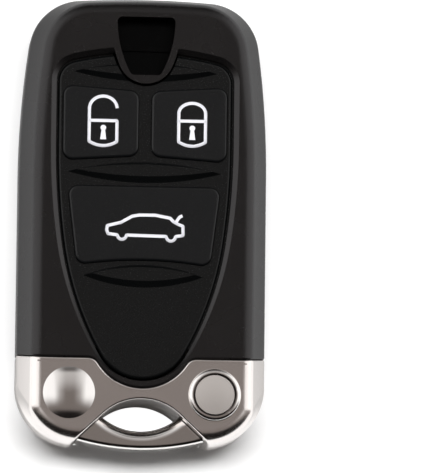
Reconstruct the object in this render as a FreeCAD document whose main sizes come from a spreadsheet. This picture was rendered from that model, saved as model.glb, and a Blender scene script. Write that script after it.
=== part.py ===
import FreeCAD, Part
import math
import operator
import os
import Sketcher
from FreeCAD import Vector

# Driving dimensions, in millimetres and degrees.
# The fob lies on its back: X across, Y along, Z out of its face.
SIZES = {
    # The whole case: black shells and metal end together
    "overall_length": 72.0,
    "overall_width": 39.4,
    "case_depth": 14.6,
    "seam_height": 7.2,
    "side_wall": 1.6,
    "end_wall": 1.3,
    "floor_thickness": 1.6,
    "front_wall": 1.6,
    "far_end_radius": 150.0,
    "corner_radius": 8.3,
    "face_corner_radius": 8.0,
    "shoulder_radius": 150.0,
    "shoulder_angle": 8.0,
    "front_flank_side": 2.6,
    "front_flank_end": 1.2,
    "front_flank_height": 5.0,
    "back_flank_side": 2.4,
    "back_flank_end": 1.0,
    "back_flank_height": 4.0,
    "flank_share": 0.32,
    "face_crease_radius": 2.0,
    "side_crease_radius": 2.0,
    # Parting line between the shells and the metal end
    "cap_length": 14.2,
    "saddle_depth": 4.7,
    "saddle_radius": 8.25,
    "saddle_corner": 2.0,
    "parting_gap": 0.1,
    "parting_rise": 0.6,
    "parting_round": 0.25,
    # Keypad aperture, and the length of aperture that its rows of keys are drawn for
    "aperture_half_width": 14.1,
    "aperture_margin": 9.0,
    "aperture_drawn_length": 52.4,
    "aperture_top_radius": 48.0,
    "aperture_corner": 3.6,
    "aperture_side_radius": 110.0,
    "aperture_side_angle": 8.0,
    "aperture_hip_radius": 50.0,
    "aperture_hip_angle": 30.0,
    "tongue_wall": 1.1,
    "rim_width": 0.8,
    "rim_width_tip": 0.1,
    "rim_depth": 0.5,
    # Catch pocket and its collar
    "pocket_half_width": 4.6,
    "pocket_margin": 3.5,
    "pocket_straight": 0.5,
    "pocket_length": 9.3,
    "pocket_side_radius": 18.0,
    "pocket_corner": 0.8,
    "pocket_depth": 4.2,
    "pocket_step_back": 4.9,
    "pocket_step": 0.5,
    "collar_wall": 1.05,
    "collar_nose_radius": 4.5,
    "collar_lap": 1.0,
    "cup_floor": 0.8,
    "cup_set_back": 0.25,
    # Keypad mat and its ridges
    "mat_gap": 0.3,
    "mat_flange": 0.85,
    "flange_thickness": 0.9,
    "mat_depth": 0.85,
    "mat_edge_radius": 0.5,
    "mat_lift": 0.05,
    "collar_gap": 0.3,
    "ridge_height": 0.7,
    "ridge_slope_far": 0.45,
    "ridge_slope_near": 1.0,
    "ridge_one_down": 3.3,
    "ridge_one_half": 11.4,
    "ridge_one_rise": 1.5,
    "ridge_two_down": 19.3,
    "ridge_two_half": 12.2,
    "ridge_two_rise": 1.65,
    "ridge_three_down": 35.8,
    "ridge_three_half": 9.5,
    "ridge_three_rise": 1.8,
    # Keys
    "key_gap": 0.06,
    "key_corner": 1.6,
    "key_edge_radius": 0.4,
    "key_rise": 0.55,
    "key_travel": 0.4,
    "key_flange": 0.4,
    "key_flange_thickness": 0.4,
    "key_inner_x": 1.0,
    "key_margin": 1.05,
    "key_top_inner": 6.3,
    "key_top_outer": 5.5,
    "key_low_inner": 16.7,
    "key_low_outer": 17.55,
    "boot_top": 21.5,
    "boot_low": 34.2,
    "boot_low_rise": 0.9,
    "boot_margin": 1.75,
    "pip_radius": 1.5,
    "pip_window_gap": 0.4,
    "press_gap": 0.05,
    # Frame behind the mat
    "frame_grow": 0.8,
    "frame_thickness": 0.8,
    "frame_leg_radius": 0.8,
    # Circuit board and what it carries
    "board_top": 9.4,
    "board_thickness": 0.8,
    "board_half_width": 16.0,
    "board_corner": 2.0,
    "board_end_gap": 0.7,
    "switch_size": 4.5,
    "switch_height": 0.8,
    "plunger_radius": 1.0,
    "plunger_gap": 0.08,
    "plunger_grip": 0.3,
    "chip_size": 5.0,
    "chip_height": 0.9,
    "radio_size": 4.0,
    "crystal_length": 3.2,
    "crystal_width": 2.5,
    "capacitor_length": 1.6,
    "capacitor_width": 0.8,
    "capacitor_pitch": 2.4,
    "coil_length": 9.0,
    "coil_height": 2.8,
    "coil_flange": 1.0,
    "coil_neck": 0.5,
    "flat_coil_size": 8.0,
    "flat_coil_height": 1.6,
    "flat_coil_band": 1.5,
    "transponder_length": 12.0,
    "transponder_width": 6.0,
    "transponder_height": 3.0,
    "transponder_down": 9.0,
    # Coin cell and its contacts
    "cell_radius": 10.0,
    "cell_height": 3.2,
    "cell_step": 1.1,
    "cell_gap": 0.5,
    "cell_x": -5.6,
    "cell_up": 27.8,
    "contact_thickness": 0.25,
    "contact_width": 5.0,
    "cell_side_gap": 0.15,
    "nest_gap": 0.8,
    "nest_wall": 0.8,
    "nest_height": 5.0,
    "pedestal_radius": 4.0,
    # Posts, ribs and snap hooks of the shells
    "post_radius": 1.2,
    "post_x": 14.3,
    "post_inset": 3.0,
    "guide_wall": 0.8,
    "guide_gap": 0.3,
    "guide_height": 5.0,
    "hook_thickness": 0.95,
    "hook_width": 4.0,
    "hook_reach": 2.3,
    "hook_gap": 0.15,
    "hook_barb": 0.5,
    "hook_barb_height": 0.7,
    "hook_up": 32.5,
    "hook_low": 9.8,
    "notch_gap": 0.2,
    # Metal end
    "bar_proud": 0.6,
    "lobe_radius": 9.7,
    "lobe_face_inset": 0.5,
    "border_inset": 0.5,
    "border_width": 0.22,
    "border_depth": 0.1,
    "arch_edge_radius": 0.4,
    "arch_reach": 7.65,
    "arch_radius": 8.8,
    "arch_angle": 43.0,
    "lobe_cavity_x": 6.0,
    "lobe_cavity_wall": 1.9,
    "cavity_inset": 3.0,
    "shelf_bottom": 8.4,
    "shelf_thickness": 1.2,
    "tongue_width": 3.6,
    "tongue_thickness": 1.6,
    "tongue_length": 3.7,
    "tongue_gap": 0.3,
    "tongue_barb": 0.5,
    # Studs on the metal end
    "stud_inset": 8.2,
    "stud_reach": 8.5,
    "dome_radius": 4.1,
    "dome_height": 0.88,
    "dome_edge": 0.12,
    "stud_shank_radius": 1.5,
    "stud_shank_length": 2.4,
    "seat_gap": 0.02,
    "clip_radius": 2.8,
    "clip_thickness": 0.4,
    "bezel_radius": 4.17,
    "bezel_round": 0.7,
    "bezel_bore": 3.4,
    "bezel_skirt": 0.28,
    # Release button, its spring and its latch
    "button_radius": 3.09,
    "button_top": 15.28,
    "button_crown": 0.18,
    "button_under": 12.2,
    "stem_radius": 1.5,
    "stem_gap": 0.05,
    "stem_bottom": 7.6,
    "groove_depth": 0.35,
    "retainer_radius": 1.9,
    "retainer_thickness": 0.45,
    "spring_radius": 2.3,
    "spring_wire": 0.4,
    "leaf_thickness": 0.3,
    "leaf_width": 2.1,
    "leaf_foot": 3.1,
    "leaf_gap": 0.1,
    "leaf_cam": 1.9,
    # Emergency key
    "bar_inner_radius": 9.4,
    "bar_outer_radius": 38.0,
    "bar_thickness": 2.95,
    "bar_back": 2.6,
    "bar_front": 11.4,
    "bar_gap": 0.12,
    "bar_round": 1.7,
    "bar_edge_radius": 0.8,
    "blade_x": 8.2,
    "blade_thickness": 2.0,
    "blade_low": 2.4,
    "blade_height": 5.6,
    "blade_length": 42.9,
    "blade_tip": 2.5,
    "blade_groove_depth": 0.45,
    "blade_groove_height": 1.6,
    "tang_thickness": 2.5,
    "tang_height": 5.2,
    "tang_top_reach": 14.0,
    "tang_foot": 1.7,
    "tail_thickness": 0.8,
    "tail_length": 4.4,
    "tail_gap": 0.05,
    "pin_radius": 0.6,
    "pin_reach": 12.8,
    "notch_depth": 0.5,
    "notch_length": 2.6,
    "notch_height": 2.0,
    "passage_gap": 0.25,
}

doc = FreeCAD.newDocument("KeyFob")
sheet = doc.addObject("Spreadsheet::Sheet", "Size")
for row, (alias, value) in enumerate(SIZES.items(), start=1):
    sheet.set(f"A{row}", alias)
    sheet.set(f"B{row}", str(value))
    sheet.setAlias(f"B{row}", alias)
doc.recompute()


class Dim:
    """A size that carries its value and its formula on the sheet."""

    def __init__(self, value, text):
        self.value = float(value)
        self.text = text

    def __add__(self, other):
        return combine(operator.add, "+", self, other)

    def __radd__(self, other):
        return combine(operator.add, "+", other, self)

    def __sub__(self, other):
        return combine(operator.sub, "-", self, other)

    def __rsub__(self, other):
        return combine(operator.sub, "-", other, self)

    def __mul__(self, other):
        return combine(operator.mul, "*", self, other)

    def __rmul__(self, other):
        return combine(operator.mul, "*", other, self)

    def __truediv__(self, other):
        return combine(operator.truediv, "/", self, other)

    def __neg__(self):
        return Dim(-self.value, f"(-1 * {self.text})")


def dim(size):
    return size if isinstance(size, Dim) else Dim(size, f"({float(size)})")


def combine(action, sign, first, second):
    first, second = dim(first), dim(second)
    return Dim(action(first.value, second.value), f"({first.text} {sign} {second.text})")


def root(size):
    return Dim(math.sqrt(size.value), f"sqrt({size.text})")


def square(size):
    return Dim(size.value ** 2, f"({size.text} ^ 2)")


def cosine(angle):
    return Dim(math.cos(math.radians(angle.value)), f"cos({angle.text})")


def sine(angle):
    return Dim(math.sin(math.radians(angle.value)), f"sin({angle.text})")


class SheetSizes:
    """Gives each alias of the sheet as a size."""

    def __getattr__(self, alias):
        return Dim(sheet.get(alias), f"Size.{alias}")


S = SheetSizes()
ZERO = dim(0)

# Places that several pieces share
half_width = S.overall_width / 2
far_end = S.overall_length / 2
near_end = -far_end
under_face = S.case_depth - S.front_wall
flank_start = S.case_depth - S.front_flank_height
parting = near_end + S.cap_length
saddle_low = parting - S.saddle_depth
saddle_centre = saddle_low + S.saddle_radius
saddle_drop = S.saddle_depth - S.saddle_radius - S.saddle_corner
saddle_x = root(square(S.saddle_radius + S.saddle_corner) - square(saddle_drop))
inner_low = parting + S.end_wall
aperture_top = far_end - S.aperture_margin
aperture_tip = saddle_low + S.tongue_wall
row_stretch = (aperture_top - aperture_tip - S.key_top_inner) / (S.aperture_drawn_length - S.key_top_inner)
pocket_top = far_end - S.pocket_margin
pocket_curve = pocket_top - S.pocket_straight
pocket_low = pocket_top - S.pocket_length
pocket_step_y = pocket_top - S.pocket_step_back
pocket_floor = S.case_depth - S.pocket_depth
cup_bottom = pocket_floor - S.pocket_step - S.cup_floor
mat_top = S.case_depth - S.mat_depth
flange_top = under_face - S.mat_lift
flange_bottom = flange_top - S.flange_thickness
frame_top = flange_bottom - S.mat_lift
frame_bottom = frame_top - S.frame_thickness
key_flange_top = flange_top - S.press_gap
key_flange_bottom = key_flange_top - S.key_flange_thickness
board_bottom = S.board_top - S.board_thickness
board_low = inner_low + S.board_end_gap
board_high = pocket_low - S.collar_wall - S.board_end_gap - S.collar_wall
plunger_top = S.board_top + S.switch_height + S.key_travel + S.press_gap
cell_y = parting + S.cell_up
cell_top = board_bottom - S.cell_gap
cell_bottom = cell_top - S.cell_height
contact_bottom = cell_bottom - S.contact_thickness - S.seat_gap
lobe_x = half_width - S.lobe_radius
lobe_y = near_end + S.bar_proud + S.lobe_radius
arch_centre = near_end + S.arch_reach - S.arch_radius
stud_x = half_width - S.stud_inset
stud_y = near_end + S.stud_reach
shelf_top = S.shelf_bottom + S.shelf_thickness
blade_side = S.blade_x - S.blade_thickness / 2
tang_side = S.blade_x - S.tang_thickness / 2
tang_top = near_end + S.tang_top_reach
blade_high = S.blade_low + S.blade_height
tang_low_z = S.blade_low + (S.blade_height - S.tang_height) / 2
key_mid_z = S.blade_low + S.blade_height / 2
notch_y = stud_y - S.leaf_gap
seam_high = (parting + S.parting_rise + S.parting_gap).value


# Helpers for sketches and features

def bind(item, path, size):
    item.setExpression(path, dim(size).text)


def new_body(name, at=None):
    body = doc.addObject("PartDesign::Body", name)
    body.Label = name
    for axis, size in zip("xyz", at or ()):
        bind(body, f"Placement.Base.{axis}", size)
    return body


def new_sketch(body, plane, offset):
    sketch = body.newObject("Sketcher::SketchObject", f"{body.Name}_outline")
    faces = [item for item in body.Origin.OriginFeatures if item.Role == plane]
    sketch.AttachmentSupport = (faces[0], [""])
    sketch.MapMode = "FlatFace"
    bind(sketch, "AttachmentOffset.Base.z", offset)
    return sketch


def pin_point(sketch, geometry, position, x, y):
    for kind, size in (("DistanceX", x), ("DistanceY", y)):
        size = dim(size)
        index = sketch.addConstraint(Sketcher.Constraint(kind, -1, 1, geometry, position, size.value))
        sketch.setExpression(f"Constraints[{index}]", size.text)


def pin_radius(sketch, geometry, radius):
    radius = dim(radius)
    index = sketch.addConstraint(Sketcher.Constraint("Radius", geometry, radius.value))
    sketch.setExpression(f"Constraints[{index}]", radius.text)


def point(place):
    return Vector(dim(place[0]).value, dim(place[1]).value, 0)


def add_side(sketch, start, end, arc):
    """Adds one side of an outline. An arc is (centre x, centre y, radius). Returns geometry, start, end."""
    if arc is None:
        return sketch.addGeometry(Part.LineSegment(start, end)), 1, 2
    centre = point(arc)
    first, last = start - centre, end - centre
    turns_left = first.cross(last).z > 0
    if not turns_left:
        first, last = last, first
    first_angle = math.atan2(first.y, first.x)
    last_angle = math.atan2(last.y, last.x)
    if last_angle < first_angle:
        last_angle += 2 * math.pi
    circle = Part.Circle(centre, Vector(0, 0, 1), dim(arc[2]).value)
    geometry = sketch.addGeometry(Part.ArcOfCircle(circle, first_angle, last_angle))
    pin_radius(sketch, geometry, arc[2])
    return (geometry, 1, 2) if turns_left else (geometry, 2, 1)


def draw(sketch, corners, arcs=None):
    """Closed outline through the corners. arcs[i], where given, leads from corner i to the next one."""
    arcs = arcs or [None] * len(corners)
    points = [point(corner) for corner in corners]
    following = points[1:] + points[:1]
    sides = [add_side(sketch, *side) for side in zip(points, following, arcs)]
    for (last, _, end), (first, start, _) in zip(sides, sides[1:] + sides[:1]):
        sketch.addConstraint(Sketcher.Constraint("Coincident", last, end, first, start))
    for (geometry, start, _), corner in zip(sides, corners):
        pin_point(sketch, geometry, start, *corner)


def draw_circle(sketch, x, y, radius):
    centre = point((x, y))
    geometry = sketch.addGeometry(Part.Circle(centre, Vector(0, 0, 1), dim(radius).value))
    pin_point(sketch, geometry, 3, x, y)
    pin_radius(sketch, geometry, radius)


def draw_box(sketch, x, y):
    (left, right), (low, high) = x, y
    draw(sketch, [(left, low), (right, low), (right, high), (left, high)])


def both_sides(corners, arcs, low, top):
    """Outline from its right side, whose corners run down from the top; low and top close it."""
    left = [(-dim(x), y) for x, y in reversed(corners)]
    left_arcs = [arc and (-dim(arc[0]), arc[1], arc[2]) for arc in reversed(arcs)]
    return corners + left, arcs + [low] + left_arcs + [top]


def outline(body, height, corners, arcs=None):
    sketch = new_sketch(body, "XY_Plane", height)
    draw(sketch, corners, arcs)
    return sketch


def circles(body, height, places, radius):
    sketch = new_sketch(body, "XY_Plane", height)
    for x, y in places:
        draw_circle(sketch, x, y, radius)
    return sketch


def boxes(body, height, places):
    sketch = new_sketch(body, "XY_Plane", height)
    for x, y in places:
        draw_box(sketch, x, y)
    return sketch


def pad(body, sketch, length):
    feature = body.newObject("PartDesign::Pad", f"{body.Name}_pad")
    feature.Profile = sketch
    bind(feature, "Length", length)
    return feature


def pocket(body, sketch, length, upward=False):
    feature = body.newObject("PartDesign::Pocket", f"{body.Name}_pocket")
    feature.Profile = sketch
    feature.Reversed = upward
    bind(feature, "Length", length)
    return feature


def loft(body, sketches, kind="AdditiveLoft"):
    feature = body.newObject(f"PartDesign::{kind}", f"{body.Name}_loft")
    feature.Profile = sketches[0]
    feature.Sections = sketches[1:]
    feature.Ruled = True
    return feature


def fillet(body, keep, radius):
    """Rounds the edges of the body's last feature that keep accepts."""
    doc.recompute()
    base = body.Tip
    names = [f"Edge{number}" for number, edge in enumerate(base.Shape.Edges, start=1) if keep(edge.BoundBox)]
    feature = body.newObject("PartDesign::Fillet", f"{body.Name}_fillet")
    feature.Base = (base, names)
    bind(feature, "Radius", radius)
    return feature


def level(box, height):
    return abs(box.ZMin - height.value) < 1e-4 and abs(box.ZMax - height.value) < 1e-4


def upright_at(box, corners):
    if box.XLength + box.YLength > 1e-3:
        return False
    return any(math.hypot(box.XMin - dim(x).value, box.YMin - dim(y).value) < 1e-2 for x, y in corners)


def seam_edge(box, height):
    """Accepts the edges of the parting line on a face at a height."""
    return level(box, height) and box.YMin > (saddle_low - S.parting_gap).value - 0.01 and box.YMax < seam_high


def turned(name, at, corners, arcs=None):
    """A round piece: a half section of (radius, height) corners, turned round its own axis."""
    body = new_body(name, (at[0], at[1], ZERO))
    sketch = new_sketch(body, "XZ_Plane", ZERO)
    draw(sketch, corners, arcs)
    feature = body.newObject("PartDesign::Revolution", f"{name}_turn")
    feature.Profile = sketch
    feature.ReferenceAxis = (sketch, ["V_Axis"])
    feature.Angle = 360
    return body


def block(name, x, y, z):
    box = doc.addObject("Part::Box", name)
    for size, axis, (low, high) in zip(("Length", "Width", "Height"), "xyz", (x, y, z)):
        bind(box, size, high - low)
        bind(box, f"Placement.Base.{axis}", low)
    return box


def rod(name, x, y, z, radius):
    cylinder = doc.addObject("Part::Cylinder", name)
    bind(cylinder, "Radius", radius)
    bind(cylinder, "Height", z[1] - z[0])
    for axis, size in zip("xyz", (x, y, z[0])):
        bind(cylinder, f"Placement.Base.{axis}", size)
    return cylinder


def cut(name, base, tool):
    result = doc.addObject("Part::Cut", name)
    result.Base = base
    result.Tool = tool
    return result


def group(name, pieces):
    """One node of several like solids, or one solid of several primitives."""
    result = doc.addObject("Part::MultiFuse", name)
    result.Shapes = pieces
    return result


def about(middle, size):
    return middle - size / 2, middle + size / 2


# Outlines that several pieces share

def case_side(side, end, corner, low):
    """Right side of the case, inset by side and end, from the crowned far end down to the height low."""
    crown = S.far_end_radius - end
    crown_y = far_end - end - crown
    shoulder = S.shoulder_radius - side
    turn_x, turn_y = cosine(S.shoulder_angle), sine(S.shoulder_angle)
    corner_x = half_width - side - shoulder * (1 - turn_x) - corner * turn_x
    rise = root(square(crown - corner) - square(corner_x))
    corner_y = crown_y + rise
    reach = crown / (crown - corner)
    shoulder_y = corner_y + (corner - shoulder) * turn_y
    corners = [
        (corner_x * reach, crown_y + rise * reach),
        (corner_x + corner * turn_x, corner_y + corner * turn_y),
        (half_width - side, shoulder_y),
        (half_width - side, low),
    ]
    arcs = [(corner_x, corner_y, corner), (half_width - side - shoulder, shoulder_y, shoulder), None]
    return corners, arcs, (ZERO, crown_y, crown)


def saddle_point(gap):
    reach = (S.saddle_radius + gap) / (S.saddle_radius + S.saddle_corner)
    return saddle_x * reach, saddle_centre + saddle_drop * reach


def shell_outline(side, end, corner, rise=ZERO):
    """Outline of the black shells, down to the saddle of the parting line, which rises towards the sides."""
    corners, arcs, top = case_side(side, end, corner, parting + rise)
    corners += [(saddle_x, parting), saddle_point(ZERO)]
    arcs += [None, (saddle_x, parting - S.saddle_corner, S.saddle_corner)]
    return both_sides(corners, arcs, (ZERO, saddle_centre, S.saddle_radius), top)


def inner_outline(side, end):
    """Outline of the room inside the shells."""
    corners, arcs, top = case_side(side, end, S.corner_radius - S.side_wall, inner_low)
    return both_sides(corners, arcs, None, top)


def aperture_arcs(side, tip):
    """The side, hip and tip arcs of the keypad aperture, grown by side and tip."""
    half = S.aperture_half_width + side
    upper, lower = S.aperture_side_radius + side, S.aperture_hip_radius + side
    hip_x = half - upper + (upper - lower) * cosine(S.aperture_side_angle)
    tip_radius = lower + hip_x / cosine(S.aperture_hip_angle)
    tip_y = aperture_tip - tip + tip_radius
    hip_y = tip_y + (lower - tip_radius) * sine(S.aperture_hip_angle)
    side_y = hip_y + (upper - lower) * sine(S.aperture_side_angle)
    return (half - upper, side_y, upper), (hip_x, hip_y, lower), (ZERO, tip_y, tip_radius)


def on_arc(arc, angle):
    """The point of an arc at an angle below its centre's level."""
    x, y, radius = arc
    return x + radius * cosine(angle), y - radius * sine(angle)


def arc_reach(arc, y):
    """How far out an arc reaches at a height."""
    x, centre_y, radius = arc
    return x + root(square(radius) - square(centre_y - y))


def aperture_outline(side, top, tip, low=None):
    """Outline of the keypad aperture, grown by side, top and tip, or cut off straight at the height low."""
    half = S.aperture_half_width + side
    corner = S.aperture_corner + side
    crown = S.aperture_top_radius + top
    crown_y = aperture_top + top - crown
    rise = root(square(crown - corner) - square(half - corner))
    reach = crown / (crown - corner)
    side_arc, hip_arc, tip_arc = aperture_arcs(side, tip)
    corners = [
        ((half - corner) * reach, crown_y + rise * reach),
        (half, crown_y + rise),
        (half, side_arc[1]),
        on_arc(hip_arc, S.aperture_side_angle),
        on_arc(hip_arc, S.aperture_hip_angle) if low is None else (arc_reach(hip_arc, low), low),
    ]
    arcs = [(half - corner, crown_y + rise, corner), None, side_arc, hip_arc]
    closing = tip_arc if low is None else None
    return both_sides(corners, arcs, closing, (ZERO, crown_y, crown))


def aperture_half(y):
    """Half width of the keypad aperture at a height beside its keys."""
    side_arc, hip_arc, _ = aperture_arcs(ZERO, ZERO)
    if y.value > side_arc[1].value:
        return S.aperture_half_width
    change = on_arc(hip_arc, S.aperture_side_angle)[1]
    return arc_reach(side_arc if y.value > change.value else hip_arc, y)


def collar_outline(grow, top):
    """Outline of the pocket's collar, grown by grow, from its nose up to the height top."""
    centre_x = S.pocket_half_width - S.pocket_side_radius
    radius = S.pocket_side_radius + S.collar_wall + grow
    nose = S.collar_nose_radius + grow
    drop = root(square(radius - nose) - square(centre_x))
    reach = radius / (radius - nose)
    corners = [
        (centre_x + radius, top),
        (centre_x + radius, pocket_curve),
        (centre_x - centre_x * reach, pocket_curve - drop * reach),
    ]
    arcs = [None, (centre_x, pocket_curve, radius)]
    return both_sides(corners, arcs, (ZERO, pocket_curve - drop, nose), None)


def short_collar_outline(grow, top):
    """The same collar, cut off straight at a height below its straight part."""
    corners, arcs = collar_outline(grow, top)
    centre_x = S.pocket_half_width - S.pocket_side_radius
    radius = S.pocket_side_radius + S.collar_wall + grow
    start = (centre_x + root(square(radius) - square(pocket_curve - top)), top)
    right = [start, corners[2]]
    return both_sides(right, [arcs[1]], arcs[2], None)


def pocket_outline(top):
    """Mouth of the catch pocket from the height top down to its flat lower end."""
    centre_x = S.pocket_half_width - S.pocket_side_radius
    arc = (centre_x, pocket_curve, S.pocket_side_radius)
    end = (centre_x + root(square(S.pocket_side_radius) - square(pocket_curve - pocket_low)), pocket_low)
    if top is pocket_top:
        corners = [(S.pocket_half_width, top), (S.pocket_half_width, pocket_curve), end]
        return both_sides(corners, [None, arc], None, None)
    start = (centre_x + root(square(S.pocket_side_radius) - square(pocket_curve - top)), top)
    return both_sides([start, end], [arc], None, None)


def row(down):
    """Height of a row of the keypad: the rows below the catch pocket spread with the aperture's length."""
    return aperture_top - S.key_top_inner - (down - S.key_top_inner) * row_stretch


key_outer_top = aperture_half(aperture_top - S.key_top_outer) - S.key_margin
key_outer_low = aperture_half(row(S.key_low_outer)) - S.key_margin
boot_half_top = aperture_half(row(S.boot_top)) - S.boot_margin
boot_half_low = aperture_half(row(S.boot_low)) - S.boot_margin


def key_corners(side, grow):
    """Corners of the unlock key (side -1) or the lock key (side 1), grown by grow."""
    return [
        (side * (S.key_inner_x - grow), aperture_top - S.key_top_inner + grow),
        (side * (key_outer_top + grow), aperture_top - S.key_top_outer + grow),
        (side * (key_outer_low + grow), row(S.key_low_outer) - grow),
        (side * (S.key_inner_x - grow), row(S.key_low_inner) - grow),
    ]


def boot_corners(grow):
    return [
        (boot_half_top + grow, row(S.boot_top) + grow),
        (boot_half_low + grow, row(S.boot_low) - grow),
        (-(boot_half_low + grow), row(S.boot_low) - grow),
        (-(boot_half_top + grow), row(S.boot_top) + grow),
    ]


def boot_arcs(grow):
    half = boot_half_low + grow
    radius = (square(half) + square(S.boot_low_rise)) / (2 * S.boot_low_rise)
    return [None, (ZERO, row(S.boot_low) - grow + S.boot_low_rise - radius, radius), None, None]


KEYS = {
    "unlock": (lambda grow: (key_corners(-1, grow), None)),
    "lock": (lambda grow: (key_corners(1, grow), None)),
    "boot": (lambda grow: (boot_corners(grow), boot_arcs(grow))),
}
pair_x = (S.key_inner_x + key_outer_top) / 2
pair_y = (aperture_top - S.key_top_inner + row(S.key_low_inner)) / 2
boot_y = (row(S.boot_top) + row(S.boot_low)) / 2
KEY_CENTRES = {"unlock": (-pair_x, pair_y), "lock": (pair_x, pair_y), "boot": (ZERO, boot_y)}


def key_flange_box(name):
    """Room of a key's hidden flange: wider than the key beside and below it, short of its upper edge."""
    if name == "boot":
        half = (boot_half_top + boot_half_low) / 2 + S.key_flange
        return (-half, half), (row(S.boot_low) + S.boot_low_rise, row(S.boot_top) - S.key_corner)
    x = (S.key_inner_x - S.key_flange, key_outer_low + S.key_flange)
    y = (row(S.key_low_inner) - S.key_flange, aperture_top - S.key_top_inner - S.key_corner)
    return (x, y) if name == "lock" else ((-x[1], -x[0]), y)


def grown(box, gap):
    (left, right), (low, high) = box
    return (left - gap, right + gap), (low - gap, high + gap)


# Front shell: moulded ABS, with the keypad aperture and the catch pocket

HOOK_PLACES = [(side, reach) for side in (1, -1) for reach in (S.hook_up, S.hook_low)]


def hook_boxes(inner, outer):
    """A box at each snap hook, between two distances from the middle line."""
    places = []
    for side, reach in HOOK_PLACES:
        x = (inner, outer) if side > 0 else (-outer, -inner)
        places.append((x, about(parting + reach, S.hook_width)))
    return places


hook_outer = half_width - S.side_wall - S.hook_gap
hook_inner = hook_outer - S.hook_thickness
hook_tip = S.seam_height - S.hook_reach
blade_slot_x = (blade_side - S.guide_gap, blade_side + S.blade_thickness + S.guide_gap)
end_wall_y = (parting - S.end_wall, inner_low + S.end_wall)


def make_front_shell():
    body = new_body("front_shell")
    full = (ZERO, ZERO, S.corner_radius, S.parting_rise)
    face = (S.front_flank_side, S.front_flank_end, S.face_corner_radius)
    pad(body, outline(body, S.seam_height, *shell_outline(*full)), flank_start - S.seam_height)
    lower = outline(body, flank_start, *shell_outline(*full))
    loft(body, [lower, outline(body, S.case_depth, *shell_outline(*face))])
    fillet(body, lambda box: level(box, flank_start) and box.YMax > seam_high, S.side_crease_radius)
    fillet(body, lambda box: level(box, S.case_depth) and box.YMax > seam_high, S.face_crease_radius)
    fillet(body, lambda box: seam_edge(box, S.case_depth), S.parting_round)
    middle = flank_start + S.front_flank_height * S.flank_share
    for share, top in ((0, flank_start), (1, middle), (2, under_face)):
        side = S.side_wall + share * S.front_flank_side * S.flank_share
        end = S.side_wall + share * S.front_flank_end * S.flank_share
        pocket(body, outline(body, top, *inner_outline(side, end)), top - S.seam_height)
    aperture = aperture_outline(ZERO, ZERO, ZERO)
    pocket(body, outline(body, S.case_depth, *aperture), S.case_depth - S.seam_height)
    rim = [
        outline(body, S.case_depth - S.rim_depth, *aperture),
        outline(body, S.case_depth, *aperture_outline(S.rim_width, S.rim_width, S.rim_width_tip)),
    ]
    loft(body, rim, "SubtractiveLoft")
    cup_top = S.case_depth - S.rim_depth - S.cup_set_back
    cup = collar_outline(ZERO, pocket_top + S.collar_wall)
    pad(body, outline(body, cup_bottom, *cup), cup_top - cup_bottom)
    lap = aperture_top + S.collar_lap
    pad(body, outline(body, cup_top, *short_collar_outline(ZERO, lap)), S.case_depth - cup_top)
    mouth = outline(body, S.case_depth, *pocket_outline(pocket_top))
    pocket(body, mouth, S.pocket_depth)
    mouth_corners = pocket_outline(pocket_top)[0]
    ends = [mouth_corners[index] for index in (0, 2, 3, 5)]
    fillet(body, lambda box: upright_at(box, ends), S.pocket_corner)
    pocket(body, outline(body, pocket_floor, *pocket_outline(pocket_step_y)), S.pocket_step)
    root_inner, root_outer = hook_inner, half_width - S.side_wall + S.hook_gap
    pad(body, boxes(body, S.seam_height + S.hook_gap, hook_boxes(root_inner, root_outer)),
        flank_start - S.seam_height - S.hook_gap)
    pad(body, boxes(body, hook_tip, hook_boxes(hook_inner, hook_outer)), flank_start - hook_tip)
    pad(body, boxes(body, hook_tip, hook_boxes(hook_outer - S.hook_gap, hook_outer + S.hook_barb)),
        S.hook_barb_height)
    slot = boxes(body, S.seam_height, [(blade_slot_x, end_wall_y)])
    pocket(body, slot, blade_high + S.guide_gap - S.seam_height, upward=True)
    return body


# Rear shell: moulded ABS tub with the nest of the coin cell and the guide of the emergency key

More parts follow.
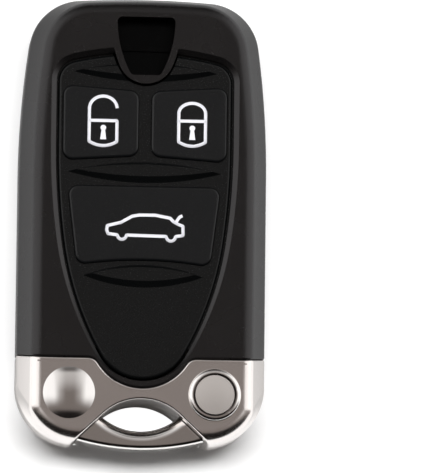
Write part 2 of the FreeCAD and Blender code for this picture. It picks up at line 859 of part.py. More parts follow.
def make_rear_shell():
    body = new_body("rear_shell")
    full = (ZERO, ZERO, S.corner_radius, S.parting_rise)
    back = (S.back_flank_side, S.back_flank_end, S.face_corner_radius, S.parting_rise)
    top = S.back_flank_height
    pad(body, outline(body, top, *shell_outline(*full)), S.seam_height - top)
    loft(body, [outline(body, top, *shell_outline(*full)), outline(body, ZERO, *shell_outline(*back))])
    fillet(body, lambda box: level(box, top) and box.YMax > seam_high, S.side_crease_radius)
    fillet(body, lambda box: level(box, ZERO) and box.YMax > seam_high, S.face_crease_radius)
    fillet(body, lambda box: seam_edge(box, ZERO), S.parting_round)
    pocket(body, outline(body, S.seam_height, *inner_outline(S.side_wall, S.side_wall)), S.seam_height - top)
    low_side = S.side_wall + S.back_flank_side * (1 - S.flank_share)
    depth = S.seam_height - S.floor_thickness
    pocket(body, outline(body, S.seam_height, *inner_outline(low_side, S.side_wall + S.back_flank_end)), depth)
    pocket(body, circles(body, S.seam_height, [(ZERO, saddle_centre)], S.saddle_radius - S.tongue_wall), depth)
    floor = S.floor_thickness
    nest = new_sketch(body, "XY_Plane", floor)
    nest_inner = S.cell_radius + S.nest_gap
    draw_circle(nest, S.cell_x, cell_y, nest_inner)
    draw_circle(nest, S.cell_x, cell_y, nest_inner + S.nest_wall)
    pad(body, nest, S.nest_height)
    pedestal = circles(body, floor, [(S.cell_x, cell_y)], S.pedestal_radius)
    pad(body, pedestal, contact_bottom - S.seat_gap - floor)
    post_y = (board_low + S.post_inset, board_high - S.post_inset)
    posts = [(side * S.post_x, y) for side in (1, -1) for y in post_y]
    pad(body, circles(body, floor, posts, S.post_radius), board_bottom - floor)
    rib_y = (inner_low, near_end + S.tang_top_reach + S.blade_length + S.guide_gap)
    ribs = [((blade_slot_x[0] - S.guide_wall, blade_slot_x[0]), rib_y)]
    ribs.append(((blade_slot_x[1], blade_slot_x[1] + S.guide_wall), rib_y))
    pad(body, boxes(body, floor, ribs), S.guide_height)
    place_y = far_end - S.transponder_down
    cradle = new_sketch(body, "XY_Plane", floor)
    chip = grown((about(ZERO, S.transponder_length), about(place_y, S.transponder_width)), S.guide_gap)
    draw_box(cradle, *chip)
    draw_box(cradle, *grown(chip, S.guide_wall))
    pad(body, cradle, S.transponder_height / 2)
    notch = hook_boxes(hook_inner, hook_outer + S.hook_barb + S.notch_gap)
    notch = [(x, (low - S.notch_gap, high + S.notch_gap)) for x, (low, high) in notch]
    notch_top = hook_tip + S.hook_barb_height + S.notch_gap
    pocket(body, boxes(body, notch_top, notch), notch_top - hook_tip + S.notch_gap)
    slot = boxes(body, S.seam_height, [(blade_slot_x, end_wall_y)])
    pocket(body, slot, S.seam_height - S.blade_low + S.guide_gap)
    tongue_y = (parting - S.tongue_length, parting + S.end_wall / 2)
    low = S.floor_thickness + S.tongue_gap
    pad(body, boxes(body, low, tongue_boxes(tongue_y, ZERO)), S.tongue_thickness)
    barb_y = (parting - S.tongue_length, parting - S.tongue_length / 2)
    pad(body, boxes(body, low, tongue_boxes(barb_y, S.tongue_barb)), S.tongue_thickness)
    return body


def tongue_boxes(y, reach):
    """Both locking tongues, or their barbs that reach further out."""
    outer = half_width - S.cavity_inset - S.tongue_gap
    return [((outer - S.tongue_width, outer + reach), y), ((-outer - reach, S.tongue_width - outer), y)]


# Metal end: one chromed moulding with two hollow lobes and the arch of the keyring loop

def arch_point(radius):
    return radius * sine(S.arch_angle), arch_centre + radius * cosine(S.arch_angle)


def along_flank(start, centre, radius):
    """Where the straight flank that leaves the arch at start meets a circle further out."""
    across, down = cosine(S.arch_angle), -sine(S.arch_angle)
    x, y = start[0] - centre[0], start[1] - centre[1]
    middle = x * across + y * down
    travel = root(square(middle) - square(x) - square(y) + square(radius)) - middle
    return start[0] + travel * across, start[1] + travel * down


def cap_outline(side, inset, rise=ZERO):
    """Outline of the metal end. side insets its straight sides, inset its lobes."""
    radius = S.lobe_radius - inset
    lobe = (lobe_x, lobe_y)
    turn = arch_point(S.arch_radius)
    low = lobe_y - root(square(radius) - square(S.lobe_radius - side))
    corners = [
        saddle_point(S.parting_gap),
        (saddle_x, parting - S.parting_gap),
        (half_width - side, parting - S.parting_gap + rise),
        (half_width - side, low),
        along_flank(turn, lobe, radius),
        turn,
    ]
    corner_arc = (saddle_x, parting - S.saddle_corner, S.saddle_corner - S.parting_gap)
    arcs = [corner_arc, None, None, (lobe_x, lobe_y, radius), None]
    top = (ZERO, saddle_centre, S.saddle_radius + S.parting_gap)
    return both_sides(corners, arcs, (ZERO, arch_centre, S.arch_radius), top)


def lobe_cavity(side, inset):
    """Room inside one lobe, open towards the shells; side is 1 for the right lobe and -1 for the left."""
    radius = S.lobe_radius - inset
    turn = arch_point(S.arch_radius)
    low = turn[1] + S.lobe_cavity_wall
    corners = [
        (side * S.lobe_cavity_x, parting + S.end_wall),
        (side * (lobe_x + radius), parting + S.end_wall),
        (side * (lobe_x + radius), lobe_y),
        (side * lobe_x, lobe_y - radius),
        (side * S.lobe_cavity_x, low),
    ]
    return corners, [None, None, (side * lobe_x, lobe_y, radius), None, None]


def border_outline():
    """A narrow groove that follows the parting line on the face of the metal end."""
    upper = S.parting_gap + S.border_inset
    lower = upper + S.border_width
    corners, arcs = [], []
    for gap, side in ((upper, 1), (lower, -1)):
        x, y = saddle_point(gap)
        straight = parting - gap
        bend = (side * saddle_x, parting - S.saddle_corner, S.saddle_corner - gap)
        far_bend = (-side * saddle_x, parting - S.saddle_corner, S.saddle_corner - gap)
        corners += [
            (-side * half_width, straight),
            (-side * saddle_x, straight),
            (-side * x, y),
            (side * x, y),
            (side * saddle_x, straight),
            (side * half_width, straight),
        ]
        arcs += [None, far_bend, (ZERO, saddle_centre, S.saddle_radius + gap), bend, None, None]
    return corners, arcs


def runs_down_flank(box, high, low):
    """Accepts the slanting edge where a straight flank runs out into a lobe, between two heights."""
    inset = S.lobe_face_inset.value
    inside = box.ZMax < high.value + 1e-3 and box.ZMin > low.value - 1e-3
    slants = box.ZLength > (high - low).value / 2 and box.XLength > inset and box.YLength > 2 * inset
    return inside and slants and box.YMax < seam_high


def round_outer_edges(body, face, crease):
    """Rounds the edges between one broad face of the metal end and its flanks and lobes."""
    high, low = (face, crease) if face.value > crease.value else (crease, face)
    long_side = S.cap_length.value / 4
    beyond_arch = (stud_x + S.stud_shank_radius).value

    def keep(box):
        outer = max(-box.XMin, box.XMax) > beyond_arch
        straight = box.XLength < 1e-3 and box.YLength > long_side
        lobe = level(box, face) and box.YMax < lobe_y.value
        flat = level(box, face) or level(box, crease)
        return outer and (flat and straight or lobe or runs_down_flank(box, high, low))

    fillet(body, keep, S.face_crease_radius)


def arch_or_lobe_end(box):
    """Accepts the edges of the arch on both faces, and the upright edges that end the lobes beside the bar."""
    near_bar = box.YMax < lobe_y.value and max(-box.XMin, box.XMax) < stud_x.value
    on_face = level(box, S.case_depth) or level(box, ZERO)
    upright = box.ZLength > S.parting_round.value and box.XLength + box.YLength < 2 * S.lobe_face_inset.value
    return near_bar and (on_face or upright and box.YMax < (lobe_y - S.lobe_radius / 2).value)


def make_end_cap():
    body = new_body("end_cap")
    full = (ZERO, ZERO, S.parting_rise)
    back = S.back_flank_height
    pad(body, outline(body, back, *cap_outline(*full)), flank_start - back)
    face = cap_outline(S.front_flank_side, S.lobe_face_inset)
    loft(body, [outline(body, flank_start, *cap_outline(*full)), outline(body, S.case_depth, *face)])
    rear = cap_outline(S.back_flank_side, S.lobe_face_inset, S.parting_rise)
    loft(body, [outline(body, back, *cap_outline(*full)), outline(body, ZERO, *rear)])
    round_outer_edges(body, S.case_depth, flank_start)
    round_outer_edges(body, ZERO, back)
    fillet(body, arch_or_lobe_end, S.arch_edge_radius)
    fillet(body, lambda box: seam_edge(box, S.case_depth), S.parting_round)
    pocket(body, outline(body, S.case_depth, *border_outline()), S.border_depth)
    pocket(body, outline(body, under_face, *lobe_cavity(-1, S.front_flank_side + S.lobe_face_inset)),
           under_face - S.floor_thickness)
    pocket(body, outline(body, under_face, *lobe_cavity(1, S.front_flank_side + S.lobe_face_inset)),
           under_face - shelf_top)
    for side in (1, -1):
        pocket(body, outline(body, S.shelf_bottom, *lobe_cavity(side, S.cavity_inset)),
               S.shelf_bottom - S.floor_thickness)
    shank = S.stud_shank_radius + S.seat_gap
    pocket(body, circles(body, S.case_depth, [(-stud_x, stud_y)], shank), S.front_wall)
    seat = S.bezel_bore + S.bezel_skirt + S.seat_gap
    pocket(body, circles(body, S.case_depth, [(stud_x, stud_y)], seat), S.front_wall)
    pocket(body, circles(body, shelf_top, [(stud_x, stud_y)], S.stem_radius + S.stem_gap), S.shelf_thickness)
    gap = S.passage_gap
    passage_x = (tang_side - gap, tang_side + S.tang_thickness + gap)
    passage = boxes(body, blade_high + gap, [(passage_x, (near_end, stud_y))])
    pocket(body, passage, S.blade_height + 2 * gap)
    barb_y = (parting - S.tongue_length - S.notch_gap, parting - S.tongue_length / 2 + S.notch_gap)
    top = S.floor_thickness + S.tongue_gap + S.tongue_thickness + S.notch_gap
    catches = boxes(body, top, tongue_boxes(barb_y, S.tongue_barb + S.notch_gap))
    pocket(body, catches, S.tongue_thickness + 2 * S.notch_gap)
    return body


# Studs and button on the metal end

def crown_radius(radius, height):
    return (square(radius) + square(height)) / (2 * height)


def make_dome_stud():
    base = S.case_depth + S.seat_gap
    edge = base + S.dome_edge
    crown = crown_radius(S.dome_radius, S.dome_height - S.dome_edge)
    top = base + S.dome_height
    foot = under_face - S.clip_thickness * 2
    corners = [
        (ZERO, foot),
        (S.stud_shank_radius, foot),
        (S.stud_shank_radius, base),
        (S.dome_radius, base),
        (S.dome_radius, edge),
        (ZERO, top),
    ]
    arcs = [None, None, None, None, (ZERO, top - crown, crown), None]
    return turned("left_dome_stud", (-stud_x, stud_y), corners, arcs)


def make_ring(name, at, inner, outer, low, high):
    return turned(name, at, [(inner, low), (outer, low), (outer, high), (inner, high)])


def make_stud_clip():
    inner = S.stud_shank_radius + S.seat_gap
    top = under_face - S.seat_gap
    return make_ring("stud_clip", (-stud_x, stud_y), inner, S.clip_radius, top - S.clip_thickness, top)


def make_button_bezel():
    base = S.case_depth + S.seat_gap
    skirt = S.bezel_bore + S.bezel_skirt
    corners = [
        (S.bezel_bore, under_face),
        (skirt, under_face),
        (skirt, base),
        (S.bezel_radius, base),
        (S.bezel_radius - S.bezel_round, base + S.bezel_round),
        (S.bezel_bore, base + S.bezel_round),
    ]
    arcs = [None, None, None, (S.bezel_radius - S.bezel_round, base, S.bezel_round), None, None]
    return turned("button_bezel", (stud_x, stud_y), corners, arcs)


def make_release_button():
    crown = crown_radius(S.button_radius, S.button_crown)
    groove = S.stem_radius - S.groove_depth
    clip_top = S.shelf_bottom - S.press_gap
    clip_low = clip_top - S.retainer_thickness
    corners = [
        (ZERO, S.stem_bottom),
        (S.stem_radius, S.stem_bottom),
        (S.stem_radius, clip_low),
        (groove, clip_low),
        (groove, clip_top),
        (S.stem_radius, clip_top),
        (S.stem_radius, S.button_under),
        (S.button_radius, S.button_under),
        (S.button_radius, S.button_top - S.button_crown),
        (ZERO, S.button_top),
    ]
    arcs = [None] * 8 + [(ZERO, S.button_top - crown, crown), None]
    return turned("release_button", (stud_x, stud_y), corners, arcs)


def make_button_retainer():
    inner = S.stem_radius - S.groove_depth + S.seat_gap
    top = S.shelf_bottom - S.press_gap - S.seat_gap
    low = top - S.retainer_thickness + 2 * S.seat_gap
    return make_ring("button_retainer", (stud_x, stud_y), inner, S.retainer_radius, low, top)


def make_release_spring():
    inner = S.spring_radius - S.spring_wire
    return make_ring("release_spring", (stud_x, stud_y), inner, S.spring_radius, shelf_top, S.button_under)


leaf_x = stud_x - S.leaf_thickness - S.passage_gap - S.stem_radius / 2


def make_release_leaf():
    """Spring-steel latch: a foot on the floor, an upright with a tooth, and a cam under the button's stem."""
    body = new_body("release_leaf")
    thick = S.leaf_thickness
    floor = S.floor_thickness
    cam = S.stem_bottom - S.leaf_gap
    tooth = blade_side + S.blade_thickness + S.press_gap
    tooth_low, tooth_high = about(key_mid_z, S.notch_height - 2 * S.passage_gap)
    corners = [
        (leaf_x + S.leaf_foot, floor),
        (leaf_x + S.leaf_foot, floor + thick),
        (leaf_x + thick, floor + thick),
        (leaf_x + thick, cam - 2 * thick),
        (leaf_x + S.leaf_cam, cam - thick),
        (leaf_x + S.leaf_cam, cam),
        (leaf_x, cam - thick),
        (leaf_x, tooth_high),
        (tooth, tooth_high - thick),
        (tooth, tooth_low + thick),
        (leaf_x, tooth_low),
        (leaf_x, floor),
    ]
    sketch = new_sketch(body, "XZ_Plane", -(notch_y + S.leaf_width / 2))
    draw(sketch, corners)
    pad(body, sketch, S.leaf_width)
    return body


# Emergency key: die-cast bar with its tang, steel blade and pin

def make_keyring_bar():
    body = new_body("keyring_bar")
    turn = arch_point(S.arch_radius - S.bar_gap)
    inner_y = near_end + S.bar_thickness + S.bar_inner_radius
    outer_y = near_end + S.bar_outer_radius
    corners = [
        along_flank(turn, (ZERO, inner_y), S.bar_inner_radius),
        along_flank(turn, (ZERO, outer_y), S.bar_outer_radius),
    ]
    outer, inner = (ZERO, outer_y, S.bar_outer_radius), (ZERO, inner_y, S.bar_inner_radius)
    shape = both_sides(corners, [None], outer, inner)
    pad(body, outline(body, S.bar_back, *shape), S.bar_front - S.bar_back)

    def face_edge_at(y):
        """Accepts the edges of the bar's two faces whose lowest point is at a height y."""
        faces = (S.bar_front, S.bar_back)
        return lambda box: any(level(box, z) for z in faces) and abs(box.YMin - y.value) < 1e-3

    fillet(body, face_edge_at(near_end + S.bar_thickness), S.bar_round)
    fillet(body, face_edge_at(near_end), S.bar_edge_radius)
    tang_x = (tang_side, tang_side + S.tang_thickness)
    tang = boxes(body, tang_low_z, [(tang_x, (near_end + S.tang_foot, tang_top))])
    pad(body, tang, S.tang_height)
    slot_x = about(S.blade_x, S.tail_thickness + 2 * S.tail_gap)
    slot_y = (tang_top - S.tail_length - S.tail_gap, tang_top)
    slot = boxes(body, tang_low_z + S.tang_height, [(slot_x, slot_y)])
    pocket(body, slot, S.tang_height)
    notch_x = (tang_x[1] - S.notch_depth, tang_x[1] + S.notch_depth)
    notch = boxes(body, key_mid_z + S.notch_height / 2, [(notch_x, about(notch_y, S.notch_length))])
    pocket(body, notch, S.notch_height)
    hole = new_sketch(body, "YZ_Plane", tang_x[1])
    draw_circle(hole, near_end + S.pin_reach, key_mid_z, S.pin_radius)
    pocket(body, hole, S.tang_thickness)
    return body


def make_key_blade():
    body = new_body("key_blade")
    start = tang_top + S.tail_gap
    end = start + S.blade_length
    side = new_sketch(body, "YZ_Plane", blade_side)
    corners = [
        (start, S.blade_low),
        (end - S.blade_tip, S.blade_low),
        (end, S.blade_low + S.blade_tip),
        (end, blade_high - S.blade_tip / 2),
        (end - S.blade_tip / 2, blade_high),
        (start, blade_high),
    ]
    draw(side, corners)
    pad(body, side, S.blade_thickness)
    tail = new_sketch(body, "YZ_Plane", S.blade_x - S.tail_thickness / 2)
    tail_y = (start - S.tail_length, start + S.tail_thickness)
    draw_box(tail, tail_y, about(key_mid_z, S.tang_height - S.tail_thickness))
    pad(body, tail, S.tail_thickness)
    groove = (start + 2 * S.blade_tip, end - 2 * S.blade_tip), about(key_mid_z, S.blade_groove_height)
    for face, upward in ((blade_side, True), (blade_side + S.blade_thickness, False)):
        sketch = new_sketch(body, "YZ_Plane", face)
        draw_box(sketch, *groove)
        pocket(body, sketch, S.blade_groove_depth, upward=upward)
    hole = new_sketch(body, "YZ_Plane", S.blade_x + S.tail_thickness)
    draw_circle(hole, near_end + S.pin_reach, key_mid_z, S.pin_radius)
    pocket(body, hole, 2 * S.tail_thickness)
    return body


def make_blade_pin():
    pin = doc.addObject("Part::Cylinder", "blade_pin")
    bind(pin, "Radius", S.pin_radius - S.seat_gap)
    bind(pin, "Height", S.tang_thickness)
    pin.Placement.Rotation = FreeCAD.Rotation(Vector(0, 1, 0), 90)
    for axis, size in zip("xyz", (tang_side, near_end + S.pin_reach, key_mid_z)):
        bind(pin, f"Placement.Base.{axis}", size)
    return pin


# Keypad: silicone mat with three lens-shaped ridges, and its keys

RIDGE_ROWS = {
    "one": aperture_top - S.ridge_one_down,
    "two": row(S.ridge_two_down),
    "three": row(S.ridge_three_down),
}


def lens(centre_y, half, rise):
    """Pointed outline of a ridge, from two arcs."""
    radius = (square(half) + square(rise)) / (2 * rise)
    corners = [(half, centre_y), (-half, centre_y)]
    arcs = [(ZERO, centre_y + radius - rise, radius), (ZERO, centre_y - radius + rise, radius)]
    return corners, arcs


def make_keypad():
    body = new_body("keypad")
    grow = S.mat_flange
    flange_low = inner_low + S.mat_gap
    flange = outline(body, flange_bottom, *aperture_outline(grow, grow, grow, flange_low))
    pad(body, flange, S.flange_thickness)
    gap = -S.mat_gap
    mat = outline(body, flange_bottom, *aperture_outline(gap, gap, gap))
    pad(body, mat, mat_top - flange_bottom)
    fillet(body, lambda box: level(box, mat_top), S.mat_edge_radius)
    slopes = S.ridge_slope_far + S.ridge_slope_near
    for name, centre_y in RIDGE_ROWS.items():
        half = getattr(S, f"ridge_{name}_half")
        rise = getattr(S, f"ridge_{name}_rise")
        foot = outline(body, mat_top, *lens(centre_y, half, rise))
        crest_y = centre_y + (S.ridge_slope_near - S.ridge_slope_far) / 2
        crest = outline(body, mat_top + S.ridge_height, *lens(crest_y, half - slopes, rise - slopes / 2))
        loft(body, [foot, crest])
    above = mat_top + S.ridge_height
    for shape in KEYS.values():
        pocket(body, outline(body, above, *shape(S.key_gap)), above - flange_bottom)
    corners = [corner for shape in KEYS.values() for corner in shape(S.key_gap)[0]]
    fillet(body, lambda box: upright_at(box, corners), S.key_corner + S.key_gap)
    for name in KEYS:
        room = grown(key_flange_box(name), S.key_gap)
        pocket(body, boxes(body, flange_top, [room]), S.flange_thickness)
    pocket(body, outline(body, above, *collar_outline(S.collar_gap, far_end)), above - flange_bottom)
    return body


def make_key(name):
    body = new_body(f"{name}_key")
    corners, arcs = KEYS[name](ZERO)
    top = mat_top + S.key_rise
    pad(body, outline(body, key_flange_bottom, corners, arcs), top - key_flange_bottom)
    fillet(body, lambda box: upright_at(box, corners), S.key_corner)
    fillet(body, lambda box: level(box, top), S.key_edge_radius)
    pad(body, boxes(body, key_flange_bottom, [key_flange_box(name)]), S.key_flange_thickness)
    pip_bottom = plunger_top + S.press_gap
    pad(body, circles(body, pip_bottom, [KEY_CENTRES[name]], S.pip_radius), key_flange_bottom - pip_bottom)
    return body


def make_keypad_frame():
    body = new_body("keypad_frame")
    low = inner_low + S.mat_gap
    plate = outline(body, frame_bottom, *aperture_outline(S.frame_grow, S.frame_grow, S.frame_grow, low))
    pad(body, plate, S.frame_thickness)
    post_y = (board_high - S.post_inset, (board_low + board_high) / 2, board_low + S.post_inset)
    inset = (ZERO, S.pip_radius, 2 * S.post_inset)
    legs = [(side * (S.post_x - back), y) for side in (1, -1) for y, back in zip(post_y, inset)]
    pad(body, circles(body, S.board_top, legs, S.frame_leg_radius), frame_bottom - S.board_top)
    windows = circles(body, frame_top, KEY_CENTRES.values(), S.pip_radius + S.pip_window_gap)
    pocket(body, windows, S.frame_thickness)
    pocket(body, outline(body, frame_top, *collar_outline(S.collar_gap, far_end)), S.frame_thickness)
    return body


# Electronics

def make_circuit_board():
    body = new_body("circuit_board")
    x = (-S.board_half_width, S.board_half_width)
    pad(body, boxes(body, board_bottom, [(x, (board_low, board_high))]), S.board_thickness)
    corners = [(side, y) for side in x for y in (board_low, board_high)]
    fillet(body, lambda box: upright_at(box, corners), S.board_corner)
    return body


def make_switch(name):
    x, y = KEY_CENTRES[name]
    top = S.board_top + S.switch_height
    case = block(f"{name}_switch_case", about(x, S.switch_size), about(y, S.switch_size), (S.board_top, top))
    well_bottom = S.board_top + S.plunger_gap
    well = rod(f"{name}_switch_well", x, y, (well_bottom, top), S.plunger_radius + S.plunger_gap)
    return cut(f"{name}_switch", case, well)


def make_plunger(name):
    x, y = KEY_CENTRES[name]
    low = S.board_top + S.switch_height - S.plunger_grip
    return rod(f"{name}_plunger", x, y, (low, plunger_top), S.plunger_radius)


def make_coin_cell():
    step_top = cell_top - S.contact_thickness
    corners = [
        (ZERO, cell_bottom),
        (S.cell_radius, cell_bottom),
        (S.cell_radius, step_top),
        (S.cell_radius - S.cell_step, cell_top),
        (ZERO, cell_top),
    ]
    return turned("coin_cell", (S.cell_x, cell_y), corners)


def strip(name, corners, middle_y):
    """A bent strip of sheet metal, from its edge-on outline of (x, z) corners."""
    body = new_body(name)
    sketch = new_sketch(body, "XZ_Plane", -(middle_y + S.contact_width / 2))
    draw(sketch, corners)
    pad(body, sketch, S.contact_width)
    return body


def make_positive_contact():
    arm = S.cell_x - S.cell_radius - S.cell_side_gap
    top = contact_bottom + S.contact_thickness
    corners = [
        (S.cell_x + S.pedestal_radius, contact_bottom),
        (S.cell_x + S.pedestal_radius, top),
        (arm, top),
        (arm, board_bottom),
        (arm - S.contact_thickness, board_bottom),
        (arm - S.contact_thickness, contact_bottom),
    ]
    return strip("cell_contact_positive", corners, cell_y)


def make_negative_contact():
    thick = S.contact_thickness
    tip = cell_top + S.seat_gap
    near, bend = S.cell_x - S.pedestal_radius / 2, S.cell_x + S.pedestal_radius / 2
    far = S.cell_x + S.pedestal_radius
    corners = [
        (near - S.pedestal_radius, board_bottom),
        (near, board_bottom),
        (bend, tip + thick),
        (far, tip + thick),
        (far, tip),
        (bend, tip),
        (near, board_bottom - thick),
        (near - S.pedestal_radius, board_bottom - thick),
    ]
    return strip("cell_contact_negative", corners, cell_y)


under_y = board_low + S.chip_size


def under_board(name, x, y, width, length, height):
    return block(name, about(dim(x), width), about(y, length), (board_bottom - height, board_bottom))


def make_coil(name, x, y, along_x):
    """Ferrite core with a winding, necked between its two end flanges."""
    height = S.coil_height
    core_height = height - S.coil_neck
    span = S.coil_length - S.coil_flange
    width, length = (S.coil_length, core_height) if along_x else (core_height, S.coil_length)
    pieces = [under_board(f"{name}_core", x, y, width, length, core_height)]
    for side, end in ((-1, "low"), (1, "high")):
        shift = side * span / 2
        place = (x + shift, y) if along_x else (x, y + shift)
        flange = (S.coil_flange, height) if along_x else (height, S.coil_flange)
        pieces.append(under_board(f"{name}_{end}", place[0], place[1], flange[0], flange[1], height))
    return group(name, pieces)


def make_flat_coil():
    size = S.flat_coil_size
    x, y = S.cell_x, under_y
    ring = under_board("antenna_coil_z_ring", x, y, size, size, S.flat_coil_height)
    hole = size - 2 * S.flat_coil_band
    window = under_board("antenna_coil_z_window", x, y, hole, hole, S.flat_coil_height)
    return cut("antenna_coil_z", ring, window)


def make_capacitors():
    pieces = []
    for index in range(6):
        x = -S.board_half_width / 2 + index * S.capacitor_pitch
        y = board_high - S.post_inset / 2
        place = (about(x, S.capacitor_length), about(y, S.capacitor_width))
        z = (S.board_top, S.board_top + S.capacitor_width)
        pieces.append(block(f"chip_capacitor_{index + 1}", *place, z))
    return group("chip_capacitors", pieces)


def make_transponder():
    x = about(ZERO, S.transponder_length)
    y = about(far_end - S.transponder_down, S.transponder_width)
    return block("transponder", x, y, (S.floor_thickness, S.floor_thickness + S.transponder_height))


coil_x = S.cell_x - (S.flat_coil_size + S.coil_height) / 2 - S.coil_neck
coil_y = under_y + (S.flat_coil_size + S.coil_height) / 2 + S.coil_neck
chip_x = S.cell_x + S.flat_coil_size
crystal_y = under_y + S.chip_size / 2 + S.crystal_length
radio_y = board_high - S.post_inset

PIECES = [
    make_front_shell(),
    make_rear_shell(),
    make_end_cap(),
    make_dome_stud(),
    make_stud_clip(),
    make_button_bezel(),
    make_release_button(),
    make_button_retainer(),
    make_release_spring(),
    make_release_leaf(),
    make_keyring_bar(),
    make_key_blade(),
    make_blade_pin(),
    make_keypad(),
    make_keypad_frame(),
    make_circuit_board(),
    make_coin_cell(),
    make_positive_contact(),
    make_negative_contact(),
    make_coil("antenna_coil_x", S.cell_x, coil_y, True),
    make_coil("antenna_coil_y", coil_x, under_y, False),
    make_flat_coil(),
    under_board("microcontroller", chip_x, under_y, S.chip_size, S.chip_size, S.chip_height),
    under_board("rf_transmitter", chip_x, radio_y, S.radio_size, S.radio_size, S.chip_height),
    under_board("crystal", chip_x, crystal_y, S.crystal_length, S.crystal_width, S.chip_height),
    make_capacitors(),
    make_transponder(),
]
for key_name in KEYS:
    PIECES += [make_key(key_name), make_switch(key_name), make_plunger(key_name)]

doc.recompute()

CUTTING = ("PartDesign::Pocket", "PartDesign::SubtractiveLoft", "PartDesign::Fillet")
for item in doc.Objects:
    if "Invalid" in item.State or "Error" in item.State:
        raise RuntimeError(f"{item.Name} failed: {item.State}")
    if item.TypeId in CUTTING and item.BaseFeature is not None:
        if abs(item.BaseFeature.Shape.Volume - item.Shape.Volume) < 1e-6:
            raise RuntimeError(f"{item.Name} cuts nothing")
for piece in PIECES:
    if piece.Shape.isNull() or not piece.Shape.isValid():
        raise RuntimeError(f"{piece.Label} has no valid shape")

os.makedirs("parts", exist_ok=True)
for piece in PIECES:
    piece.Shape.exportStep(os.path.join("parts", f"{piece.Label}.step"))
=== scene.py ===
import math

import bmesh
import bpy
from mathutils import Matrix, Vector


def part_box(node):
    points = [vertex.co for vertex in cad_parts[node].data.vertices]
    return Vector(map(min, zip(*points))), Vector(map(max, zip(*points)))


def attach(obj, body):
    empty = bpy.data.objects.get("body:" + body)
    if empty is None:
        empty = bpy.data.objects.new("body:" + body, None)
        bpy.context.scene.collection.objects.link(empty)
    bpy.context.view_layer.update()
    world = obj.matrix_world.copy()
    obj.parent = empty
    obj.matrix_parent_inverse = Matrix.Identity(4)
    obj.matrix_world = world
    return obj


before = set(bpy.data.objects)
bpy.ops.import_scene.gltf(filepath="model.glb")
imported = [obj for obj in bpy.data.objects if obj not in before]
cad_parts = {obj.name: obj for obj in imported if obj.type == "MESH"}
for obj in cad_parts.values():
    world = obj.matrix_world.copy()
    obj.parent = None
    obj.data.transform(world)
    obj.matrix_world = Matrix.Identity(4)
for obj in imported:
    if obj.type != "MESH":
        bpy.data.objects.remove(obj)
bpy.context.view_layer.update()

# Rear and front shells: two injection moulded halves of black ABS that snap together round the electronics.
# Their mould is spark eroded, so the skin has a fine dull grain. A plain core pin made the catch pocket,
# smooth and deep;
# its black is painted shade: its colour and its shine are darkened below its mouth.

MM = 0.001
POCKET_HALF_WIDTH = 6.0 * MM
POCKET_MIDDLE = 27.5 * MM
POCKET_HALF_LENGTH = 6.0 * MM
POCKET_MOUTH = 14.5 * MM
POCKET_SHADE = 13.9 * MM
ABS_PITS = 0.25 * MM
ABS_CLOUDS = 6 * MM
ABS_RELIEF = 0.010 * MM


def linear(code):
    """Turns an sRGB hex colour into Blender's linear colour."""
    parts = [int(code[place:place + 2], 16) / 255 for place in (1, 3, 5)]
    return [part / 12.92 if part <= 0.04045 else ((part + 0.055) / 1.055) ** 2.4 for part in parts] + [1.0]


def add(tree, kind, inputs=None, **settings):
    """Adds one node to a tree, with its settings, its values and its links."""
    made = tree.nodes.new(kind)
    for name, value in settings.items():
        setattr(made, name, value)
    for name, value in (inputs or {}).items():
        if isinstance(value, bpy.types.NodeSocket):
            tree.links.new(value, made.inputs[name])
        else:
            made.inputs[name].default_value = value
    return made


def new_material(name):
    """An empty material, its tree, and where each point lies on its piece."""
    material = bpy.data.materials.new(name)
    material.use_nodes = True
    tree = material.node_tree
    tree.nodes.clear()
    return material, tree, add(tree, "ShaderNodeTexCoord").outputs["Object"]


def surface(tree, inputs):
    """Ends a material with its shader."""
    shader = add(tree, "ShaderNodeBsdfPrincipled", inputs)
    add(tree, "ShaderNodeOutputMaterial", {"Surface": shader.outputs["BSDF"]})


def dress(nodes, material):
    """Gives CAD nodes a material through their objects' own slots."""
    for name in nodes:
        for material_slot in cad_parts[name].material_slots:
            material_slot.link = "OBJECT"
            material_slot.material = material


